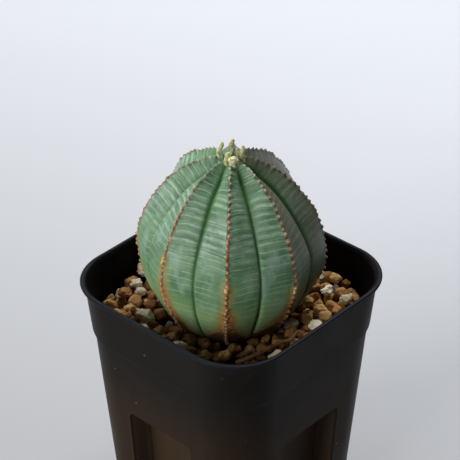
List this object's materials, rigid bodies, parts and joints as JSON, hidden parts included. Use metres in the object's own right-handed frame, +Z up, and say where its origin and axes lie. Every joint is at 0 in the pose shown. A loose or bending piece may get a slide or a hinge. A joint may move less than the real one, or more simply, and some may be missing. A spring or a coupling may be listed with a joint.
{
  "type": "potted globular succulent",
  "caption": "Round ribbed succulent with a tuft of short flower stalks, growing in a square black nursery pot topped with brown and white grit.",
  "frame": {"origin": "centre of the pot's underside", "axes": "+Z up; X and Y square to the pot's sides"},
  "size_m": [0.075, 0.075, 0.1372],
  "materials": {
    "black_plastic": "satin moulded black plastic with light scuffs and dust",
    "soil": "coarse dark potting mix",
    "brown_grit": "dull porous brown grit",
    "white_grit": "dull off-white pumice grit",
    "stem_skin": "waxy green skin with fine pale cross bands and brown corky rib edges",
    "flower_stalk": "matt yellow-green",
    "dry_stalk": "dry brown stalk"
  },
  "bodies": {
    "root": {"brown_stone_1": "brown_grit", "brown_stone_10": "brown_grit", "brown_stone_11": "brown_grit", "brown_stone_12": "brown_grit", "brown_stone_13": "brown_grit", "brown_stone_14": "brown_grit", "brown_stone_15": "brown_grit", "brown_stone_16": "brown_grit", "brown_stone_17": "brown_grit", "brown_stone_18": "brown_grit", "brown_stone_19": "brown_grit", "brown_stone_2": "brown_grit", "brown_stone_20": "brown_grit", "brown_stone_21": "brown_grit", "brown_stone_22": "brown_grit", "brown_stone_23": "brown_grit", "brown_stone_24": "brown_grit", "brown_stone_25": "brown_grit", "brown_stone_26": "brown_grit", "brown_stone_27": "brown_grit", "brown_stone_3": "brown_grit", "brown_stone_4": "brown_grit", "brown_stone_5": "brown_grit", "brown_stone_6": "brown_grit", "brown_stone_7": "brown_grit", "brown_stone_8": "brown_grit", "brown_stone_9": "brown_grit", "dry_stalk": "dry_stalk", "flower_stalk_1": "flower_stalk", "flower_stalk_2": "flower_stalk", "flower_stalk_3": "flower_stalk", "flower_stalk_4": "flower_stalk", "flower_stalk_5": "flower_stalk", "flower_stalk_6": "flower_stalk", "gravel_bed": "brown_grit", "pot": "black_plastic", "potting_soil": "soil", "stem": "stem_skin", "white_stone_1": "white_grit", "white_stone_10": "white_grit", "white_stone_11": "white_grit", "white_stone_2": "white_grit", "white_stone_3": "white_grit", "white_stone_4": "white_grit", "white_stone_5": "white_grit", "white_stone_6": "white_grit", "white_stone_7": "white_grit", "white_stone_8": "white_grit", "white_stone_9": "white_grit"}
  },
  "joints": []
}
